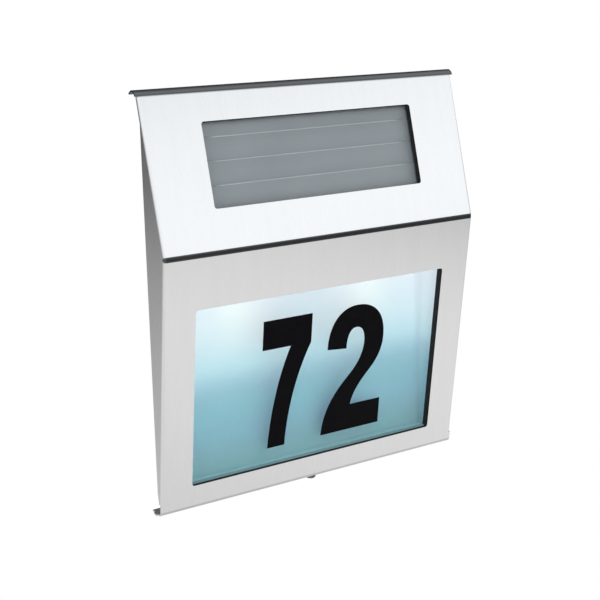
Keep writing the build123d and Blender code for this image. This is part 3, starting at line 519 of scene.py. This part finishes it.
finishes = {
    "cover_steel": brushedStainless(),
    "plate_steel": rolledStainless(),
    "fastener_steel": turnedStainless("turnedStainless", ("#cfd0d2", "#b4b6b9")),
    "panel_acrylic": hazyAcrylic(),
    "foam": cellFoam(),
    "glazing": solarGlass(),
    "silicon": thinFilmSilicon(),
    "backing": backingBoard(),
    "white_moulding": whiteMoulding(),
    "black_moulding": texturedMoulding(),
    "cell_sleeve": shrinkSleeve(),
    "contact_metal": platedContact("nickelPlate", ("#c9c8c2", "#bab8b0")),
    "board_green": solderMask("greenSolderMask", "#0f5a30", "#1b7140"),
    "board_white": solderMask("whiteSolderMask", "#e9ebe8", "#dfe3df"),
    "black_part": plainMoulding("mouldedEpoxy", ("#1b1b1c", "#222223")),
    "coil_ferrite": wireInsulation("lacqueredFerrite", ("#2b2828", "#3a3331")),
    "can_aluminium": platedContact("drawnAluminium", ("#d6d8da", "#c8cacc"), 0.15),
    "switch_metal": platedContact("tinnedShell", ("#c4c6c7", "#b6b8b9")),
    "knob_plastic": plainMoulding("knobMoulding", ("#e6e5e0", "#dcdbd6")),
    "lens": lampLens(),
    "red_wire": wireInsulation("redInsulation", ("#b31f1c", "#9f1a18")),
    "yellow_wire": wireInsulation("yellowInsulation", ("#dcb52c", "#cda625")),
}
for node in nodes.values():
    for place in node.material_slots:
        place.material = finishes[place.material.name.split(".")[0]]
print("finishes on", len(nodes), "CAD nodes")


thread = {
    "crest": 1.5,               # M3: radius over the threads
    "deep": 0.29,
    "pitch": 0.5,
    "stepsPerTurn": 6,
    "around": 24,               # points round one ring
}

studs = {
    "places": {                 # across the sign, then up each face from the fold
        "upper": ((-78.5, 78.5), (22.3, 58.3)),
        "lower": ((-81.5, 81.5), (-41.6, -103.7))},
    "face": 0.8,                # inner surface of the sheet
    "length": 11.0,
    "collar": (2.25, 0.5),      # radius and height of the weld collar
    "tip": 0.6,                 # length of the bevelled end
}

nuts = {
    "apothem": 2.75,
    "height": 2.4,
    "hole": 1.56,
    "countersink": 0.3,
    "chamferCircle": 2.62,      # radius that the 30 degree chamfer leaves on each face
    "seats": {"upper": 8.1, "lower": 8.6},      # depth of the ears' backs behind each face
    "around": 96,
}

screw = {
    "axis": (0.0, -11.45),
    "seat": -105.3,             # underside of the head
    "head": (2.75, 1.7),        # radius and height
    "squareness": 0.6,          # power of the head's rounded outline, 1 is an ellipse
    "neck": 0.5,
    "tip": 0.5,
    "recess": (1.5, 0.42, 1.0), # half length and half width of an arm, and depth
    "recessSlope": (0.3, 0.14), # how far its walls lean in, along and across an arm
    "around": 96,
}


def threadProfile(first, last, around):
    # rings from first to last along the axis: crest minus deep times a triangle wave of
    # (distance / pitch - angle / 360), so the ridge climbs one pitch a turn
    rings = int((last - first) / thread["pitch"] * thread["stepsPerTurn"]) + 1
    along = np.linspace(first, last, rings)[:, None]
    angle = np.linspace(0, 2 * pi, around, endpoint=False)[None, :]
    phase = (along / thread["pitch"] - angle / (2 * pi)) % 1.0
    radius = thread["crest"] - thread["deep"] * np.abs(2 * phase - 1)
    return radius, np.broadcast_to(along, radius.shape)


def plainProfile(stations, around):
    # plain rings from (radius, distance) pairs
    pairs = np.array(stations)
    flat = np.ones((1, around))
    return pairs[:, :1] * flat, pairs[:, 1:] * flat


def turnedShell(origin, axis, profiles):
    # rings round an axis: origin + distance * axis + radius * (cos(angle) * across the sign
    # + sin(angle) * (axis x across the sign)), with radius and distance from the profiles
    radius = np.vstack([p[0] for p in profiles])[..., None]
    along = np.vstack([p[1] for p in profiles])[..., None]
    angle = np.linspace(0, 2 * pi, radius.shape[1], endpoint=False)[None, :, None]
    turned = np.cos(angle) * acrossSign + np.sin(angle) * np.cross(axis, acrossSign)
    return origin + along * axis + radius * turned


def faceSpots():
    return [(face, across, up) for face, (sides, heights) in studs["places"].items()
            for across in sides for up in heights]


def weldedStuds():
    around, length, tip = thread["around"], studs["length"], studs["tip"]
    radius, height = studs["collar"]
    root = thread["crest"] - thread["deep"]
    foot = plainProfile(((0.4, 0.02), (radius - 0.15, 0.02), (radius, 0.15), (radius, height),
                         (radius - 0.3, height + 0.25), (root + 0.1, height + 0.35)), around)
    turns = threadProfile(height + 0.4, length - tip, around)
    end = plainProfile(((root, length - tip + 0.05), (root * 0.75, length)), around)
    return [turnedShell(onFace(face, across, up, studs["face"]), faceIn(face), (foot, turns, end))
            for face, across, up in faceSpots()]


def hexNuts():
    # hexagon radius = apothem / cos(angle from the middle of the nearest flat), cut to a cone of
    # 30 degrees at both faces
    around, high, hole = nuts["around"], nuts["height"], nuts["hole"]
    sink, circle = nuts["countersink"], nuts["chamferCircle"]
    angle = np.linspace(0, 2 * pi, around, endpoint=False)
    hexagon = nuts["apothem"] / np.cos((angle + pi / 6) % (pi / 3) - pi / 6)
    first = plainProfile(((hole, sink), (hole + sink, 0.0), (circle, 0.0)), around)
    last = plainProfile(((circle, high), (hole + sink, high), (hole, high - sink)), around)
    levels = np.array([0.08, 0.16, 0.24, 0.34, high - 0.34, high - 0.24, high - 0.16, high - 0.08])
    inward = np.minimum(levels, high - levels)[:, None]
    flats = np.minimum(hexagon[None, :], circle + inward / np.tan(radians(30)))
    sides = flats, np.broadcast_to(levels[:, None], flats.shape)
    return [turnedShell(onFace(face, across, up, nuts["seats"][face]), faceIn(face),
                        (first, sides, last)) for face, across, up in faceSpots()]


def panHeadScrew(top):
    # pan head: radius R cos(t)^p and height H sin(t)^p for t from 0 to 90 degrees, with a cross
    # recess sunk into it, on an M3 shank that ends at top
    around = screw["around"]
    radius, height = screw["head"]
    root = thread["crest"] - thread["deep"]
    length = top - screw["seat"]
    tip = plainProfile(((root * 0.7, length), (root, length - screw["tip"])), around)
    turns = threadProfile(screw["neck"], length - screw["tip"] - 0.05, around)
    turns = turns[0][::-1], turns[1][::-1]
    neck = plainProfile(((root, screw["neck"] - 0.1), (thread["crest"], 0.1), (thread["crest"], 0.0),
                         (radius - 0.1, 0.0)), around)
    t = np.concatenate([np.linspace(0.03, 0.9, 8), np.linspace(0.95, pi / 2 - 0.02, 26)])[:, None]
    angle = np.linspace(0, 2 * pi, around, endpoint=False)[None, :]
    outline = radius * np.cos(t) ** screw["squareness"] * np.ones_like(angle)
    dome = height * np.sin(t) ** screw["squareness"] * np.ones_like(angle)
    x, y = np.abs(outline * np.cos(angle)), np.abs(outline * np.sin(angle))
    half, wide, deep = screw["recess"]
    along, beside = screw["recessSlope"]
    arms = [np.clip((half - a) / along, 0, 1) * np.clip((wide - b) / beside, 0, 1)
            for a, b in ((x, y), (y, x))]
    dome = dome - deep * np.maximum(*arms)
    head = outline, -dome
    origin = np.array([screw["axis"][0], screw["axis"][1], screw["seat"]])
    return turnedShell(origin, upright, (tip, turns, neck, head))


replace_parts(closedSkin("threaded_studs", weldedStuds(), "cover", "fastener_steel"), "cover_studs")
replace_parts(closedSkin("chamfered_nuts", hexNuts(), "cover", "fastener_steel", wrap=True), "stud_nuts")
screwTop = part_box("securing_screw")[1][2] / mm
# the screw is given darker steel tones than the studs and nuts
darkScrewSteel = turnedStainless("darkScrewSteel", ("#77797c", "#66686b"))
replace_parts(closedSkin("pan_head_screw", [panHeadScrew(screwTop)], "screw", "fastener_steel", darkScrewSteel),
            "securing_screw")
print("studs, nuts and screw threaded")


cells = {
    "count": 4,
    "low": 19.9,                # up the slanted face from the fold
    "high": 64.8,
    "gap": 0.5,
    "halfWidth": 61.2,
    "depth": (4.25, 4.57),      # front and back, behind the face
    "corner": 0.08,
    "stations": 40,             # rings along one strip
}


def cellStrips():
    # each strip is a rounded rectangle carried across the sign; its last rings draw in at both ends
    pitch = (cells["high"] - cells["low"] + cells["gap"]) / cells["count"]
    front, back = cells["depth"]
    corner = cells["corner"]
    turn = np.linspace(0, pi / 2, 4)
    corners = ((1, 1), (-1, 1), (-1, -1), (1, -1))
    arcs = [(sx, sy, quarter) for quarter, (sx, sy) in enumerate(corners)]
    strips = []
    for index in range(cells["count"]):
        low = cells["low"] + index * pitch
        high = low + pitch - cells["gap"]
        middle, centre = (low + high) / 2, (front + back) / 2
        reach, thick = (high - low) / 2 - corner, (back - front) / 2 - corner
        up = np.concatenate([sx * reach + corner * np.cos(turn + q * pi / 2) for sx, sy, q in arcs])
        deep = np.concatenate([sy * thick + corner * np.sin(turn + q * pi / 2) for sx, sy, q in arcs])
        across = np.linspace(-1, 1, cells["stations"])[:, None]
        drawn = corner * np.clip((np.abs(across) - 0.999) / 0.001, 0, 1)
        up = middle + up * (1 - drawn / (reach + corner))
        deep = centre + deep * (1 - drawn / (thick + corner) * 0.5)
        strips.append(onFace("upper", across * cells["halfWidth"], up, deep))
    return strips


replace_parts(closedSkin("cell_strips", cellStrips(), "cover", "silicon"), "solar_cells")
print("cell strips laid behind the clear cover")


figures = {
    "face": 4.1,                # front of the panel, behind the cover's face
    "film": 0.12,               # thickness of the film
    "glue": 0.01,               # and of the glue under it
    "top": 40.4,                # down the face from the fold to the figures' top
    "height": 70.0,
    "barHeight": 15.4,
    "left": (-32.9, -4.7),      # left and right of the seven
    "right": (4.4, 40.8),       # left and right of the two
    "curveSteps": 14,
}


def bezier(start, firstPull, secondPull, end):
    # cubic curve: (1-t)^3 a + 3 t (1-t)^2 b + 3 t^2 (1-t) c + t^3 d, without its last point
    t = np.linspace(0, 1, figures["curveSteps"], endpoint=False)[:, None]
    weights = ((1 - t) ** 3, 3 * t * (1 - t) ** 2, 3 * t ** 2 * (1 - t), t ** 3)
    return sum(w * np.array(p, float) for w, p in zip(weights, (start, firstPull, secondPull, end)))


def sevenOutline():
    # bar across the top and a stem that bows slightly as it runs down to the left
    left, right = figures["left"]
    top = figures["top"]
    low = top + figures["height"]
    bar = top + figures["barHeight"]
    stemRight = bezier((right, bar), (right - 8.0, bar + 16.0), (right - 12.2, low - 20.0),
                       (right - 13.0, low))
    stemLeft = bezier((right - 23.1, low), (right - 22.0, low - 20.0), (right - 18.6, bar + 16.0),
                      (right - 11.9, bar))
    corners = [[left, bar], [left, top], [right, top]]
    return np.vstack([corners, stemRight, [[right - 13.0, low]], stemLeft, [[right - 11.9, bar]]])


def twoOutline():
    # bowl at the top, a diagonal that sweeps down to the left, and a flat foot
    left, right = figures["right"]
    top = figures["top"]
    low = top + figures["height"]
    foot = low - figures["barHeight"] + 1.0
    width = right - left
    pieces = [
        bezier((left + 1.2, top + 22), (left + 1.2, top + 8), (left + 8.0, top),
               (left + 0.5 * width, top)),
        bezier((left + 0.5 * width, top), (left + 29.5, top), (right - 0.6, top + 7.6),
               (right - 0.6, top + 19.6)),
        bezier((right - 0.6, top + 19.6), (right - 0.6, top + 27.4), (right - 3.8, top + 33),
               (right - 9, top + 38.4)),
        bezier((right - 9, top + 38.4), (right - 13.6, top + 43.4), (right - 18, top + 49),
               (right - 19, foot)),
        [[right - 19, foot], [right, foot], [right, low], [left, low]],
        bezier((left, low), (left + 0.4, low - 12), (left + 5.6, low - 21.6),
               (left + 14.4, low - 30.4)),
        bezier((left + 14.4, low - 30.4), (left + 20.6, low - 36.6), (right - 12.6, top + 27.6),
               (right - 12.6, top + 20.6)),
        bezier((right - 12.6, top + 20.6), (right - 12.6, top + 15.2), (right - 14.6, top + 12.2),
               (left + 0.5 * width, top + 12.2)),
        bezier((left + 0.5 * width, top + 12.2), (left + 14.6, top + 12.2), (left + 12.8, top + 16.4),
               (left + 12.8, top + 23.2)),
        [[left + 12.8, top + 23.2]],
    ]
    return np.vstack(pieces)


def cutFilm(name, outline, finish):
    # a flat figure with thickness: the outline at the front, again at the back, and a wall between
    rear = figures["face"] - figures["glue"]
    front = onFace("lower", outline[:, 0], -outline[:, 1], rear - figures["film"]) * mm
    back = onFace("lower", outline[:, 0], -outline[:, 1], rear) * mm
    count = len(outline)
    ring = np.arange(count)
    after = (ring + 1) % count
    walls = np.stack([ring, after, after + count, ring + count], axis=1).tolist()
    mesh = bpy.data.meshes.new(name)
    sides = [ring[::-1].tolist(), (ring + count).tolist()] + walls
    mesh.from_pydata(np.vstack([front, back]).tolist(), [], sides)
    mesh.materials.append(finish)
    film = bpy.data.objects.new(name, mesh)
    bpy.context.scene.collection.objects.link(film)
    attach(film, "cover")


blackFilm = vinylFilm()
cutFilm("figure_seven", sevenOutline(), blackFilm)
cutFilm("figure_two", twoOutline(), blackFilm)
print("figures cut and laid on the panel")


studio = {
    "background": 1.0,
    "roomLight": 0.8,
    "floorHeight": -1250.0,     # mm below the middle of the wall holes
    "floorRadius": 9.0,         # m
    "floorColour": "#dedede",
    "keyPlace": (-0.5, -1.9, 1.1),
    "keySize": (1.6, 1.2),
    "keyPower": 14.0,
}
# brightness of what bright metal mirrors, by elevation in degrees: pale floor below, then the
# unlit room, the lamp bank and the ceiling. "right" is towards the front right, where dark flags
# stand round the lamp bank, and "behind" is past the edge of the backdrop
mirrored = {
    "all round": ((-90, 0.6), (-40, 0.82), (-25, 0.95), (-14, 0.62), (-6, 0.42), (2, 0.42), (8, 0.95),
                  (12, 1.3), (20, 1.2), (40, 1.0), (60, 0.7), (90, 0.6)),
    "right": ((-90, 0.45), (-60, 0.5), (-48, 0.62), (-40, 0.76), (-36, 0.85), (-32, 0.98), (-28, 1.03),
              (-24.5, 0.98), (-22, 0.9), (-19.5, 0.4), (-16, 0.08), (4, 0.05), (7, 0.6), (9.5, 1.35),
              (12, 1.48), (14.5, 1.4), (17, 1.3), (22.5, 1.2), (26, 0.8), (30, 0.4), (36, 0.4),
              (44, 0.8), (55, 1.0), (90, 0.95)),
    "behind": ((-90, 0.5), (-40, 0.7), (-25, 0.72), (-21, 0.58), (-18, 0.52), (-14, 0.42), (-12, 0.3),
               (-9, 0.14), (-4, 0.07), (10, 0.08), (35, 0.14), (60, 0.3), (90, 0.3)),
}
brightest = 1.5
lampTint = (0.965, 1.0, 1.02)   # the lamp bank is slightly cool,
lampsAbove = 8.0                # and stands above this elevation
flags = {"towards": 36.0, "reach": 18.0, "fade": 10.0}     # degrees round from the front
backdropEdge = (105, 120)       # degrees round from the front where it starts and has ended


def mirroredRoom(tree, height, part):
    stops = []
    for elevation, brightness in mirrored[part]:
        tint = lampTint if elevation > lampsAbove else (1, 1, 1)
        colour = [brightness / brightest * t for t in tint]
        stops.append(((sin(radians(elevation)) + 1) / 2, (*colour, 1)))
    return colourStops(tree, spread(tree, height, 0.0, 1.0, -1.0, 1.0), stops)


def studioSurroundings():
    world = bpy.data.worlds.new("studioSurroundings")
    world.use_nodes = True
    tree = world.node_tree
    tree.nodes.clear()
    way = addNode(tree, "SeparateXYZ", {0: addNode(tree, "TexCoord").outputs["Generated"]}).outputs
    # degrees round from the front, turning towards the right
    around = mathNode(tree, "ARCTAN2", way["X"], mathNode(tree, "MULTIPLY", way["Y"], -1.0))
    around = mathNode(tree, "MULTIPLY", around, 180 / pi)
    fromFlags = mathNode(tree, "ABSOLUTE", mathNode(tree, "SUBTRACT", around, flags["towards"]))
    atFlags = spread(tree, fromFlags, 1, 0, flags["reach"], flags["reach"] + flags["fade"])
    behind = spread(tree, mathNode(tree, "ABSOLUTE", around), 0, 1, *backdropEdge)
    room = mirroredRoom(tree, way["Z"], "all round")
    for factor, part in ((atFlags, "right"), (behind, "behind")):
        sight = mirroredRoom(tree, way["Z"], part)
        room = addNode(tree, "Mix", {"Factor": factor, 6: room, 7: sight}, data_type="RGBA")
        room = room.outputs[2]
    ray = addNode(tree, "LightPath").outputs
    soft = addNode(tree, "Background", {"Color": (1, 1, 1, 1), "Strength": studio["roomLight"]})
    seen = addNode(tree, "Background", {"Color": (1, 1, 1, 1), "Strength": studio["background"]})
    mirror = addNode(tree, "Background", {"Color": room, "Strength": brightest})
    isSeen = mathNode(tree, "MAXIMUM", ray["Is Camera Ray"], ray["Is Transmission Ray"])
    first = addNode(tree, "MixShader", {0: ray["Is Glossy Ray"], 1: soft.outputs[0],
                                        2: mirror.outputs[0]})
    second = addNode(tree, "MixShader", {0: isSeen, 1: first.outputs[0], 2: seen.outputs[0]})
    addNode(tree, "OutputWorld", {"Surface": second.outputs[0]})
    bpy.context.scene.world = world


def studioFloor():
    # a wide disc far below the sign, pale to the eye and left out of mirrors
    turn = np.linspace(0, 2 * pi, 96, endpoint=False)
    level = np.full(turn.shape, studio["floorHeight"] * mm)
    radius = studio["floorRadius"]
    rim = np.stack([radius * np.cos(turn), radius * np.sin(turn), level], axis=1)
    mesh = bpy.data.meshes.new("floor")
    mesh.from_pydata(rim.tolist(), [], [list(range(len(rim)))])
    material, tree, shader = startMaterial("paleFloor", Base_Color=studio["floorColour"], Roughness=0.7)
    white = addNode(tree, "Emission", {"Strength": studio["background"]})
    ray = addNode(tree, "LightPath").outputs
    shown = addNode(tree, "MixShader", {0: ray["Is Camera Ray"], 1: shader.outputs[0],
                                        2: white.outputs[0]})
    tree.links.new(shown.outputs[0], tree.nodes["Material Output"].inputs["Surface"])
    mesh.materials.append(material)
    floor = bpy.data.objects.new("floor", mesh)
    bpy.context.scene.collection.objects.link(floor)
    floor.visible_glossy = False


def keyLamp():
    light = bpy.data.lights.new("keyLamp", "AREA")
    light.shape = "RECTANGLE"
    light.size, light.size_y = studio["keySize"]
    light.energy = studio["keyPower"]
    lamp = bpy.data.objects.new("keyLamp", light)
    lamp.location = studio["keyPlace"]
    lamp.rotation_euler = (-Vector(studio["keyPlace"])).to_track_quat("-Z", "Y").to_euler()
    lamp.visible_glossy = False
    bpy.context.scene.collection.objects.link(lamp)


studioSurroundings()
studioFloor()
keyLamp()

camera = {
    "place": (-0.31847, -0.51324, 0.14777),
    "right": (0.8457, -0.5334, -0.0152),
    "up": (0.1498, 0.2100, 0.9662),
    "lens": 73.11,              # mm
    "sensor": 36.0,
    "sees": (0.01, 60.0),       # m, nearest and furthest
}


def photographCamera():
    right, up = Vector(camera["right"]).normalized(), Vector(camera["up"]).normalized()
    back = right.cross(up).normalized()
    data = bpy.data.cameras.new("camera")
    data.sensor_width = camera["sensor"]
    data.lens = camera["lens"]
    data.clip_start, data.clip_end = camera["sees"]
    view = bpy.data.objects.new("camera", data)
    turn = Matrix((right, up, back)).transposed().to_4x4()
    view.matrix_world = Matrix.Translation(camera["place"]) @ turn
    bpy.context.scene.collection.objects.link(view)
    bpy.context.scene.camera = view


photographCamera()
bpy.context.scene.view_settings.view_transform = "Standard"
print("studio and camera ready")
